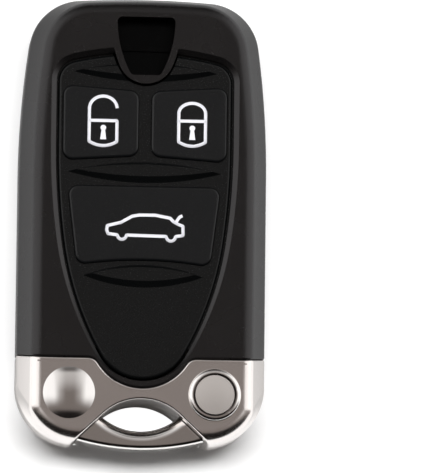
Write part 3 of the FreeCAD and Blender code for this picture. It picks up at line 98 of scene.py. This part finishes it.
def moulded_abs():
    """Spark-eroded black ABS: a soft grey shine that small pits break into a fine speckle, and painted shade
    in the pocket.
    """
    material, tree, where = new_material("moulded_abs")
    pits = add(tree, "ShaderNodeTexNoise", {"Vector": where, "Scale": 1 / ABS_PITS, "Detail": 3.0})
    clouds = add(tree, "ShaderNodeTexNoise", {"Vector": where, "Scale": 1 / ABS_CLOUDS, "Detail": 2.0})
    place = add(tree, "ShaderNodeSeparateXYZ", {0: where})
    # Painted shade: inside the catch pocket, below its mouth, the colour and the shine of the plastic are
    # darkened.
    beside = add(tree, "ShaderNodeMath", {0: place.outputs["X"], 1: 0.0, 2: POCKET_HALF_WIDTH},
                 operation="COMPARE")
    along = add(tree, "ShaderNodeMath", {0: place.outputs["Y"], 1: POCKET_MIDDLE, 2: POCKET_HALF_LENGTH},
                operation="COMPARE")
    deep = add(tree, "ShaderNodeMapRange", {"Value": place.outputs["Z"], "From Min": POCKET_MOUTH,
                                            "From Max": POCKET_SHADE}, interpolation_type="SMOOTHSTEP")
    over = add(tree, "ShaderNodeMath", {0: beside.outputs[0], 1: along.outputs[0]}, operation="MULTIPLY")
    pocket_shade_mask = add(tree, "ShaderNodeMath", {0: over.outputs[0], 1: deep.outputs[0]}, operation="MULTIPLY")
    speckle = add(tree, "ShaderNodeMix", {"Factor": pits.outputs["Fac"], 6: linear("#010101"),
                                          7: linear("#121111")}, data_type="RGBA")
    colour = add(tree, "ShaderNodeMix", {"Factor": pocket_shade_mask.outputs[0], 6: speckle.outputs[2],
                                         7: linear("#050505")}, data_type="RGBA")
    gleam_and_pocket_shade = add(tree, "ShaderNodeMix", {"Factor": pocket_shade_mask.outputs[0], 6: linear("#F4F2F4"),
                                        7: linear("#3A3A3A")}, data_type="RGBA")
    dull = add(tree, "ShaderNodeMapRange", {"Value": clouds.outputs["Fac"], "To Min": 0.24, "To Max": 0.30})
    relief = add(tree, "ShaderNodeBump", {"Height": pits.outputs["Fac"], "Distance": ABS_RELIEF})
    surface(tree, {
        "Base Color": colour.outputs[2],
        "Roughness": dull.outputs[0],
        "IOR": 1.55,
        "Specular Tint": gleam_and_pocket_shade.outputs[2],
        "Normal": relief.outputs[0],
    })
    return material


dress(["front_shell", "rear_shell"], moulded_abs())

# Circuit board: green glass-fibre laminate on four posts, with its chips, coils and capacitors soldered on.
# It is sealed inside, and only shows when the shells are opened.


def mottled(name, size, first, second, roughness, metallic=0.0):
    """An inner material of two close tones, mixed in spots of a size in millimetres."""
    material, tree, where = new_material(name)
    spots = add(tree, "ShaderNodeTexNoise", {"Vector": where, "Scale": 1 / (size * MM), "Detail": 3.0})
    colour = add(tree, "ShaderNodeMix", {"Factor": spots.outputs["Fac"], 6: linear(first), 7: linear(second)},
                 data_type="RGBA")
    surface(tree, {"Base Color": colour.outputs[2], "Roughness": roughness, "Metallic": metallic})
    return material


# Solder resist is a glossy green lacquer, chip resin is dull and black, and a capacitor is brown ceramic.
dress(["circuit_board"], mottled("solder_resist", 0.8, "#14502C", "#1B6236", 0.35))
dress(["microcontroller", "rf_transmitter", "transponder"],
      mottled("chip_resin", 0.3, "#141415", "#1D1D1F", 0.6))
dress(["chip_capacitors"], mottled("capacitor_ceramic", 0.2, "#8B6F52", "#A38361", 0.5))

# Aerial coils: fine enamelled copper wire wound on ferrite, which glows orange brown.
# They hang under the board and are dipped in lacquer.

dress(["antenna_coil_x", "antenna_coil_y", "antenna_coil_z"],
      mottled("enamelled_copper", 0.1, "#8A4A24", "#A85F30", 0.35, 0.9))

# Keypad frame and switch plungers: small dull mouldings that carry the mat and pass each press to its switch.
# They are black nylon, slightly mottled by its glass filling.

dress(["keypad_frame", "unlock_plunger", "lock_plunger", "boot_plunger"],
      mottled("filled_nylon", 0.5, "#151515", "#1C1C1C", 0.55))

# Keypad mat: one sheet of black silicone rubber, cast with its ridges, that fills the aperture.
# Its tool is bead blasted, so it shines less than the keys.

RUBBER_GRAIN = 0.2 * MM
RUBBER_CLOUDS = 4 * MM
RUBBER_RELIEF = 0.004 * MM


def silicone(name, low, high, roughness):
    """Black silicone rubber: low gloss, broken by a fine even grain."""
    material, tree, where = new_material(name)
    fine = add(tree, "ShaderNodeTexNoise", {"Vector": where, "Scale": 1 / RUBBER_GRAIN, "Detail": 3.0})
    clouds = add(tree, "ShaderNodeTexNoise", {"Vector": where, "Scale": 1 / RUBBER_CLOUDS, "Detail": 2.0})
    colour = add(tree, "ShaderNodeMix", {"Factor": clouds.outputs["Fac"], 6: linear(low), 7: linear(high)},
                 data_type="RGBA")
    dull = add(tree, "ShaderNodeMapRange", {"Value": fine.outputs["Fac"], "To Min": roughness - 0.04,
                                            "To Max": roughness + 0.04})
    relief = add(tree, "ShaderNodeBump", {"Height": fine.outputs["Fac"], "Distance": RUBBER_RELIEF})
    surface(tree, {
        "Base Color": colour.outputs[2],
        "Roughness": dull.outputs[0],
        "IOR": 1.41,
        "Normal": relief.outputs[0],
    })
    return material


dress(["keypad"], silicone("blasted_silicone", "#060707", "#08090A", 0.28))

# Keys: unlock, lock and boot, three tougher pads of the same rubber that press down through the mat.
# Their tops come from a smoother tool, so they shine a little more; their colour is painted a shade lighter
# than the mat's, as painted light on the raised tops.

dress(["unlock_key", "lock_key", "boot_key"], silicone("smooth_silicone_painted_lighter", "#0C0D0E", "#0F1011", 0.26))

# Pictograms: white silicone ink, screen printed on the keys as lines half a millimetre wide, then cured.
# Where two lines meet, the second pass of ink lies a little lower than the first.

LINE_WIDTH = 0.50 * MM
INK_DEPTH = 0.02 * MM
SECOND_PASS_DROP = 0.002 * MM
LINE_CORNER = 0.14 * MM
SCREEN_MESH = 0.25 * MM
BODY_HEIGHT = 3.35
BODY_BELLY = 0.66
HOLE_ASIDE = 0.04
HOLE_DROP = 1.15
HOLE_RADIUS = 0.45
SLOT_HALF = 0.48
SLOT_DROP = 1.85


def white_ink():
    """Silicone ink: matt white, with a slight unevenness from the screen."""
    material, tree, where = new_material("white_ink")
    fine = add(tree, "ShaderNodeTexNoise", {"Vector": where, "Scale": 1 / SCREEN_MESH, "Detail": 3.0})
    colour = add(tree, "ShaderNodeMix", {"Factor": fine.outputs["Fac"], 6: linear("#DCDCE2"),
                                         7: linear("#ECECF2")}, data_type="RGBA")
    surface(tree, {"Base Color": colour.outputs[2], "Roughness": 0.5})
    return material


def ink_line_tree():
    """A tree that turns flat curves into raised lines of ink with softened corners."""
    tree = bpy.data.node_groups.new("ink_line", "GeometryNodeTree")
    sockets = {"Curves": "NodeSocketGeometry", "Line width": "NodeSocketFloat",
               "Ink depth": "NodeSocketFloat", "Corner": "NodeSocketFloat", "Ink": "NodeSocketMaterial"}
    for name, kind in sockets.items():
        tree.interface.new_socket(name, in_out="INPUT", socket_type=kind)
    tree.interface.new_socket("Lines", in_out="OUTPUT", socket_type="NodeSocketGeometry")
    given = add(tree, "NodeGroupInput").outputs
    soft = add(tree, "GeometryNodeFilletCurve", {"Curve": given["Curves"], "Radius": given["Corner"],
                                                 "Count": 3, "Limit Radius": True}, mode="POLY")
    flat = add(tree, "GeometryNodeSetCurveNormal", {"Curve": soft.outputs[0]}, mode="Z_UP")
    section = add(tree, "GeometryNodeCurvePrimitiveQuadrilateral",
                  {"Width": given["Line width"], "Height": given["Ink depth"]})
    line = add(tree, "GeometryNodeCurveToMesh",
               {"Curve": flat.outputs[0], "Profile Curve": section.outputs[0], "Fill Caps": True})
    real = add(tree, "GeometryNodeRealizeInstances", {"Geometry": line.outputs[0]})
    inked = add(tree, "GeometryNodeSetMaterial", {"Geometry": real.outputs[0], "Material": given["Ink"]})
    add(tree, "NodeGroupOutput", {"Lines": inked.outputs[0]})
    return tree


def arc(centre, radius_x, radius_y, start, end, steps=24):
    """Points of an elliptic arc, with angles in degrees."""
    angles = [math.radians(start + (end - start) * step / steps) for step in range(steps + 1)]
    return [(centre[0] + radius_x * math.cos(a), centre[1] + radius_y * math.sin(a)) for a in angles]


def sag(left, right, depth, steps=16):
    """Points of a shallow bow that hangs between two ends."""
    points = []
    for step in range(steps + 1):
        share = step / steps
        drop = depth * 4 * share * (1 - share)
        points.append((left[0] + (right[0] - left[0]) * share, left[1] + (right[1] - left[1]) * share - drop))
    return points


def padlock(middle, bar, half, leg, reach, end):
    """A padlock in millimetres: body below the bar, shackle that ends at an angle, and the keyhole."""
    left, right = middle - half, middle + half
    low = bar - BODY_HEIGHT
    body = sag((left, low), (right, low), BODY_BELLY) + [(right, bar), (left, bar)]
    shackle = [(left, bar)] + arc((middle, bar + leg), half, reach, 180, end)
    if end == 0:
        shackle.append((right, bar))
    hole = (middle + HOLE_ASIDE, bar - HOLE_DROP)
    slot = [(hole[0] - SLOT_HALF, hole[1] - SLOT_DROP), (hole[0] + SLOT_HALF, hole[1] - SLOT_DROP)]
    return [(body, True), (shackle, False)], slot + arc(hole, HOLE_RADIUS, HOLE_RADIUS, -50, 230)


def car():
    """A saloon seen from its left side, with its boot lid open, in millimetres."""
    front_wheel = arc((-3.47, -2.36), 0.7, 0.7, 360, 180, 12)
    rear_wheel = arc((4.28, -2.47), 0.73, 0.73, 360, 180, 12)
    roof = [(-5.8, -0.91), (-3.64, -0.37), (-1.86, 0.66), (-0.76, 0.86), (1.71, 0.89), (4.14, 0.45)]
    boot = [(4.66, -0.1), (5.48, -0.54), (6.17, -0.78), (6.21, -2.28), (5.13, -2.44)]
    nose = [(-5.67, -2.19), (-5.9, -1.6)]
    lid = [(5.0, -0.25), (5.45, 0.42), (5.72, 0.72), (6.08, 0.86)]
    return [(roof + boot + rear_wheel + front_wheel + nose, True), (lid, False)], []


def print_on(key, body, lines, patch):
    """Prints one pictogram on a key, from its lines and a filled patch, and makes it move with the key."""
    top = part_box(f"{key}_key")[1].z
    curves = bpy.data.curves.new(f"{key}_lines", "CURVE")
    curves.dimensions = "3D"
    for number, (points, closed) in enumerate(lines):
        height = top + INK_DEPTH / 2 - SECOND_PASS_DROP * number
        spline = curves.splines.new("POLY")
        spline.points.add(len(points) - 1)
        for spot, (x, y) in zip(spline.points, points):
            spot.co = (x * MM, y * MM, height, 1)
        spline.use_cyclic_u = closed
    drawn = bpy.data.objects.new(f"{key}_lines", curves)
    bpy.context.scene.collection.objects.link(drawn)
    modifier = drawn.modifiers.new("ink_line", "NODES")
    modifier.node_group = ink_tree
    values = {"Line width": LINE_WIDTH, "Ink depth": INK_DEPTH, "Corner": LINE_CORNER, "Ink": ink}
    for socket in ink_tree.interface.items_tree:
        if socket.name in values:
            modifier[socket.identifier] = values[socket.name]
    evaluated = drawn.evaluated_get(bpy.context.evaluated_depsgraph_get())
    data = bpy.data.meshes.new_from_object(evaluated)
    bpy.data.objects.remove(drawn)
    mesh = bmesh.new()
    mesh.from_mesh(data)
    if patch:
        low = [mesh.verts.new((x * MM, y * MM, top)) for x, y in patch]
        high = [mesh.verts.new((x * MM, y * MM, top + INK_DEPTH)) for x, y in patch]
        mesh.faces.new(low)
        mesh.faces.new(high)
        for first in range(len(patch)):
            second = (first + 1) % len(patch)
            mesh.faces.new((low[first], low[second], high[second], high[first]))
    bmesh.ops.recalc_face_normals(mesh, faces=mesh.faces)
    mesh.to_mesh(data)
    mesh.free()
    data.name = f"{key}_pictogram"
    piece = bpy.data.objects.new(f"{key}_pictogram", data)
    bpy.context.scene.collection.objects.link(piece)
    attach(piece, body)


ink = white_ink()
ink_tree = ink_line_tree()
print_on("unlock", "unlock_button", *padlock(middle=-6.68, bar=15.82, half=2.2, leg=1.9, reach=2.0, end=3))
print_on("lock", "lock_button", *padlock(middle=7.44, bar=16.0, half=2.13, leg=1.2, reach=1.66, end=0))
print_on("boot", "boot_button", *car())

# Metal end: one hollow plated moulding that closes both shells and forms the arch of the keyring loop.
# It is satin chrome over ABS, which mirrors the room softly.

SATIN_PITS = 0.2 * MM
SATIN_CLOUDS = 5 * MM
SATIN_RELIEF = 0.0004 * MM


def satin_chrome():
    """Satin chrome: a blurred mirror, from fine pits in the copper under the chromium."""
    material, tree, where = new_material("satin_chrome")
    fine = add(tree, "ShaderNodeTexNoise", {"Vector": where, "Scale": 1 / SATIN_PITS, "Detail": 3.0})
    clouds = add(tree, "ShaderNodeTexNoise", {"Vector": where, "Scale": 1 / SATIN_CLOUDS, "Detail": 2.0})
    colour = add(tree, "ShaderNodeMix", {"Factor": clouds.outputs["Fac"], 6: linear("#EDE8E5"),
                                         7: linear("#F5F0ED")}, data_type="RGBA")
    dull = add(tree, "ShaderNodeMapRange", {"Value": fine.outputs["Fac"], "To Min": 0.19, "To Max": 0.25})
    relief = add(tree, "ShaderNodeBump", {"Height": fine.outputs["Fac"], "Distance": SATIN_RELIEF})
    surface(tree, {
        "Base Color": colour.outputs[2],
        "Metallic": 1.0,
        "Roughness": dull.outputs[0],
        "Normal": relief.outputs[0],
    })
    return material


dress(["end_cap"], satin_chrome())

# Dome stud and button bezel: turned brass in bright chrome, pressed into the face of the metal end.
# The keyring bar is die-cast zinc in the same chrome. Handling has put a faint haze on all three.

HAZE_SIZE = 2.5 * MM


def polished_chrome():
    """Bright chrome: a nearly clear mirror that a faint haze softens."""
    material, tree, where = new_material("polished_chrome")
    haze = add(tree, "ShaderNodeTexNoise", {"Vector": where, "Scale": 1 / HAZE_SIZE, "Detail": 4.0})
    dull = add(tree, "ShaderNodeMapRange", {"Value": haze.outputs["Fac"], "To Min": 0.10, "To Max": 0.16})
    surface(tree, {"Base Color": linear("#F3F1EF"), "Metallic": 1.0, "Roughness": dull.outputs[0]})
    return material


dress(["left_dome_stud", "button_bezel", "keyring_bar"], polished_chrome())

# Release button: a plated plastic cap with a finely turned, matt face, held up by its spring against a clip.
# Its finish scatters the light so far that it looks an even light grey.

TURNING_MARKS = 0.15 * MM
TURNING_RELIEF = 0.0008 * MM


def matt_plating():
    """Matt plating: a metal whose fine turning marks spread the light widely."""
    material, tree, where = new_material("matt_plating")
    fine = add(tree, "ShaderNodeTexNoise", {"Vector": where, "Scale": 1 / TURNING_MARKS, "Detail": 3.0})
    dull = add(tree, "ShaderNodeMapRange", {"Value": fine.outputs["Fac"], "To Min": 0.46, "To Max": 0.54})
    relief = add(tree, "ShaderNodeBump", {"Height": fine.outputs["Fac"], "Distance": TURNING_RELIEF})
    surface(tree, {
        "Base Color": linear("#F2EEEA"),
        "Metallic": 1.0,
        "Roughness": dull.outputs[0],
        "Normal": relief.outputs[0],
    })
    return material


dress(["release_button"], matt_plating())

# Emergency key blade, its pin, and the springs, clips, contacts and cans of the inside: nickel-plated steel.
# The blade is ground lengthwise, which draws its shine out across the scratches.

SCRATCH_WIDTH = 0.08 * MM
SCRATCH_STRETCH = 0.04
SCRATCH_RELIEF = 0.002 * MM


def ground_steel():
    """Ground and nickel-plated steel, with scratches along the fob."""
    material, tree, where = new_material("ground_steel")
    stretched = add(tree, "ShaderNodeMapping", {"Vector": where, "Scale": (1.0, SCRATCH_STRETCH, 1.0)})
    scratches = add(tree, "ShaderNodeTexNoise",
                    {"Vector": stretched.outputs[0], "Scale": 1 / SCRATCH_WIDTH, "Detail": 4.0})
    colour = add(tree, "ShaderNodeMix", {"Factor": scratches.outputs["Fac"], 6: linear("#A9A6A1"),
                                         7: linear("#C2BFBA")}, data_type="RGBA")
    dull = add(tree, "ShaderNodeMapRange", {"Value": scratches.outputs["Fac"], "To Min": 0.24, "To Max": 0.4})
    relief = add(tree, "ShaderNodeBump", {"Height": scratches.outputs["Fac"], "Distance": SCRATCH_RELIEF})
    surface(tree, {
        "Base Color": colour.outputs[2],
        "Metallic": 1.0,
        "Roughness": dull.outputs[0],
        "Normal": relief.outputs[0],
    })
    return material


dress(["key_blade", "blade_pin", "stud_clip", "button_retainer", "release_spring", "release_leaf",
       "cell_contact_positive", "cell_contact_negative", "coin_cell", "crystal",
       "unlock_switch", "lock_switch", "boot_switch"], ground_steel())

# Floor: a stage under the fob. Its near end is plain white paper, where the fob's shadow falls.
# The rest is a grey sheet that glows white to the camera as painted light, which hides the fob's shadow
# there.
# A card under the keyring loop also glows white to the camera as painted light, where the loop's shadow
# falls.

FLOOR_SPAN = (-1.5, 1.5)
FLOOR_TOP = -0.1 * MM
CARD_SPAN = (-11 * MM, 11 * MM)
CARD_START = 1.5 * MM
CARD_END = 9 * MM
CARD_TOP = -0.05 * MM
PAPER_END = -34.5 * MM
LIT_SHEET = -29 * MM
GLOW = 0.55
MIRRORED_NEAR = 32 * MM
MIRRORED_FAR = 46 * MM
MIRRORED_GLOW = 0.54


def painted_glow_sheet(name):
    """Paper at the near end, and a painted glow on the sheet elsewhere; mirrors see the glow only further
    out, a painted reflection.
    """
    material, tree, where = new_material(name)
    place = add(tree, "ShaderNodeSeparateXYZ", {0: where}).outputs
    lit = add(tree, "ShaderNodeMapRange", {"Value": place["Y"], "From Min": PAPER_END,
                                           "From Max": LIT_SHEET})
    colour = add(tree, "ShaderNodeMix", {"Factor": lit.outputs[0], 6: linear("#F8F8F8"),
                                         7: linear("#BCBCBC")}, data_type="RGBA")
    aside = add(tree, "ShaderNodeMath", {0: place["X"]}, operation="ABSOLUTE")
    far = add(tree, "ShaderNodeMapRange", {"Value": aside.outputs[0], "From Min": MIRRORED_NEAR,
                                           "From Max": MIRRORED_FAR, "To Max": MIRRORED_GLOW / GLOW})
    path = add(tree, "ShaderNodeLightPath").outputs
    mirror = add(tree, "ShaderNodeMath", {0: path["Is Glossy Ray"], 1: path["Is Transmission Ray"]},
                 operation="MAXIMUM")
    mirrored = add(tree, "ShaderNodeMath", {0: mirror.outputs[0], 1: far.outputs[0]}, operation="MULTIPLY")
    seen = add(tree, "ShaderNodeMath", {0: path["Is Camera Ray"], 1: mirrored.outputs[0]},
               operation="MAXIMUM")
    lift = add(tree, "ShaderNodeMath", {0: seen.outputs[0], 1: lit.outputs[0]}, operation="MULTIPLY")
    glow = add(tree, "ShaderNodeMath", {0: lift.outputs[0], 1: GLOW}, operation="MULTIPLY")
    paper = add(tree, "ShaderNodeBsdfDiffuse", {"Color": colour.outputs[2]})
    light = add(tree, "ShaderNodeEmission", {"Color": linear("#FFFFFF"), "Strength": glow.outputs[0]})
    both = add(tree, "ShaderNodeAddShader", {0: paper.outputs[0], 1: light.outputs[0]})
    add(tree, "ShaderNodeOutputMaterial", {"Surface": both.outputs[0]})
    return material


def painted_glow_card(name):
    """A card that glows white to the camera as painted light where the loop's shadow falls, and stays grey to
    mirrors.
    """
    material, tree, _ = new_material(name)
    seen = add(tree, "ShaderNodeLightPath").outputs["Is Camera Ray"]
    paper = add(tree, "ShaderNodeBsdfDiffuse", {"Color": linear("#BCBCBC")})
    light = add(tree, "ShaderNodeEmission", {"Color": linear("#FFFFFF"), "Strength": seen})
    both = add(tree, "ShaderNodeAddShader", {0: paper.outputs[0], 1: light.outputs[0]})
    add(tree, "ShaderNodeOutputMaterial", {"Surface": both.outputs[0]})
    return material


def paper_sheet(name, x, y, height, material):
    """A flat rectangle of the stage."""
    data = bpy.data.meshes.new(name)
    data.from_pydata([(x[0], y[0], height), (x[1], y[0], height), (x[1], y[1], height), (x[0], y[1], height)],
                     [], [(0, 1, 2, 3)])
    data.materials.append(material)
    sheet = bpy.data.objects.new(name, data)
    bpy.context.scene.collection.objects.link(sheet)


bar_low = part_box("keyring_bar")[0].y
paper_sheet("floor", FLOOR_SPAN, FLOOR_SPAN, FLOOR_TOP, painted_glow_sheet("painted_glow_floor"))
paper_sheet("loop_card", CARD_SPAN, (bar_low + CARD_START, bar_low + CARD_END), CARD_TOP,
            painted_glow_card("painted_glow_card"))

# Light: a dim warm ceiling, two white walls of light, two strip boxes past the far end, a dark near side.
# The chrome and the gloss of the plastic mirror that room. A soft lamp overhead, hidden to mirrors,
# lights the rest and throws the shadow, which the room hardly fills.

FACE_MIRRORS = 0.07
ROOM_FILL = 0.25
CEILING = "#776F6B"
WALL_LEVEL = 1.1
WALLS = ((0.0, "#000000"), (0.12, "#000000"), (0.28, "#7E7E7E"), (0.35, "#BABABA"), (0.42, "#ECECEC"),
         (0.60, "#ECECEC"), (0.80, "#FFFFFF"), (1.0, "#FFFFFF"))
STRIP_LEVEL = 0.72
# Each fade runs along an axis from a start to an end, and takes the light from one level to another.
FADES = {
    "ceiling_near": ("along", -0.46, -0.36, 0.05, 1.0),
    "ceiling_far": ("along", 0.60, 0.66, 1.0, 0.4),
    "wall_near": ("along", -0.34, 0.02, 0.0, WALL_LEVEL),
    "wall_far": ("along", 0.70, 0.90, 1.0, 0.2),
    "strip_ends": ("aside", 0.40, 0.28, 0.0, STRIP_LEVEL),
}
STRIP_BOXES = ((0.0, "#000000"), (0.12, "#000000"), (0.40, "#A0A0A0"), (0.60, "#B8B8B8"), (0.66, "#303030"),
               (0.69, "#303030"), (0.74, "#BCBCBC"), (0.79, "#BCBCBC"), (0.84, "#404040"), (1.0, "#000000"))
LAMP_WIDTH = 0.7
LAMP_LENGTH = 0.22
LAMP_WATTS = 11.5
LAMP_PLACE = Vector((0.0, 0.18, 0.96))


def room():
    """World light by direction, white to the camera; directions run from -1 to 1 along each axis."""
    world = bpy.data.worlds.new("room")
    world.use_nodes = True
    tree = world.node_tree
    tree.nodes.clear()
    direction = add(tree, "ShaderNodeTexCoord").outputs["Generated"]
    way = add(tree, "ShaderNodeSeparateXYZ", {0: direction}).outputs
    offset = add(tree, "ShaderNodeMath", {0: way["X"], 1: FACE_MIRRORS}, operation="SUBTRACT")
    sideways = add(tree, "ShaderNodeMath", {0: offset.outputs[0]}, operation="ABSOLUTE").outputs[0]
    walls = add(tree, "ShaderNodeValToRGB", {"Fac": sideways})
    strips = add(tree, "ShaderNodeValToRGB", {"Fac": way["Y"]})
    for ramp, stops in ((walls, WALLS), (strips, STRIP_BOXES)):
        elements = ramp.color_ramp.elements
        for place, _ in stops[1:-1]:
            elements.new(place)
        for element, (_, code) in zip(elements, stops):
            element.color = linear(code)
    measured = {"along": way["Y"], "aside": sideways}
    fade = {}
    for name, (axis, start, end, low, high) in FADES.items():
        fade[name] = add(tree, "ShaderNodeMapRange", {"Value": measured[axis], "From Min": start,
                                                      "From Max": end, "To Min": low, "To Max": high},
                         interpolation_type="SMOOTHSTEP").outputs[0]
    ceiling_level = add(tree, "ShaderNodeMath", {0: fade["ceiling_near"], 1: fade["ceiling_far"]},
                        operation="MULTIPLY")
    wall_level = add(tree, "ShaderNodeMath", {0: fade["wall_near"], 1: fade["wall_far"]},
                     operation="MULTIPLY")
    light = add(tree, "ShaderNodeBackground", {"Color": linear(CEILING),
                                               "Strength": ceiling_level.outputs[0]})
    for colour, level in ((walls, wall_level.outputs[0]), (strips, fade["strip_ends"])):
        more = add(tree, "ShaderNodeBackground", {"Color": colour.outputs[0], "Strength": level})
        light = add(tree, "ShaderNodeAddShader", {0: light.outputs[0], 1: more.outputs[0]})
    path = add(tree, "ShaderNodeLightPath").outputs
    spill = add(tree, "ShaderNodeMath", {0: path["Is Diffuse Ray"], 1: 1 - ROOM_FILL}, operation="MULTIPLY")
    dark = add(tree, "ShaderNodeBackground", {"Strength": 0.0})
    light = add(tree, "ShaderNodeMixShader", {0: spill.outputs[0], 1: light.outputs[0], 2: dark.outputs[0]})
    backdrop = add(tree, "ShaderNodeBackground", {"Color": linear("#FFFFFF"), "Strength": 1.0})
    seen = add(tree, "ShaderNodeMixShader", {0: path["Is Camera Ray"], 1: light.outputs[0],
                                             2: backdrop.outputs[0]})
    add(tree, "ShaderNodeOutputWorld", {"Surface": seen.outputs[0]})
    bpy.context.scene.world = world


def key_lamp():
    """The soft lamp overhead, a little past the middle, so that a shadow falls at the near end only."""
    light = bpy.data.lights.new("key_lamp", "AREA")
    light.shape = "RECTANGLE"
    light.size = LAMP_WIDTH
    light.size_y = LAMP_LENGTH
    light.energy = LAMP_WATTS
    lamp = bpy.data.objects.new("key_lamp", light)
    lamp.location = LAMP_PLACE
    lamp.rotation_euler = (-LAMP_PLACE).to_track_quat("-Z", "Y").to_euler()
    lamp.visible_glossy = False
    bpy.context.scene.collection.objects.link(lamp)


room()
key_lamp()

# Camera: a long lens about a metre above the fob, leaning to its near and left sides.

CAMERA_REACH = 1.0
TILT = math.radians(7.0)
SIDE = math.radians(4.2)
ROLL = math.radians(0.65)
AIM = Vector((12.6, -1.4, 7.0)) * MM
PIXELS_PER_METRE = 6280
PICTURE_HEIGHT = 473
SENSOR_SIZE = 36.0


def long_lens():
    """The camera: its scale is set in pixels per metre of the picture."""
    data = bpy.data.cameras.new("long_lens")
    data.sensor_width = SENSOR_SIZE
    data.lens = PIXELS_PER_METRE * CAMERA_REACH * SENSOR_SIZE / PICTURE_HEIGHT
    data.clip_start = 0.01
    data.clip_end = 10
    camera = bpy.data.objects.new("long_lens", data)
    back = Vector((-math.tan(SIDE), -math.tan(TILT), 1)).normalized()
    right = Vector((0, 1, 0)).cross(back).normalized()
    up = back.cross(right)
    turn = Matrix((right, up, back)).transposed() @ Matrix.Rotation(ROLL, 3, "Z")
    camera.matrix_world = Matrix.Translation(AIM + back * CAMERA_REACH) @ turn.to_4x4()
    bpy.context.scene.collection.objects.link(camera)
    bpy.context.scene.camera = camera


long_lens()
bpy.context.scene.view_settings.view_transform = "Standard"
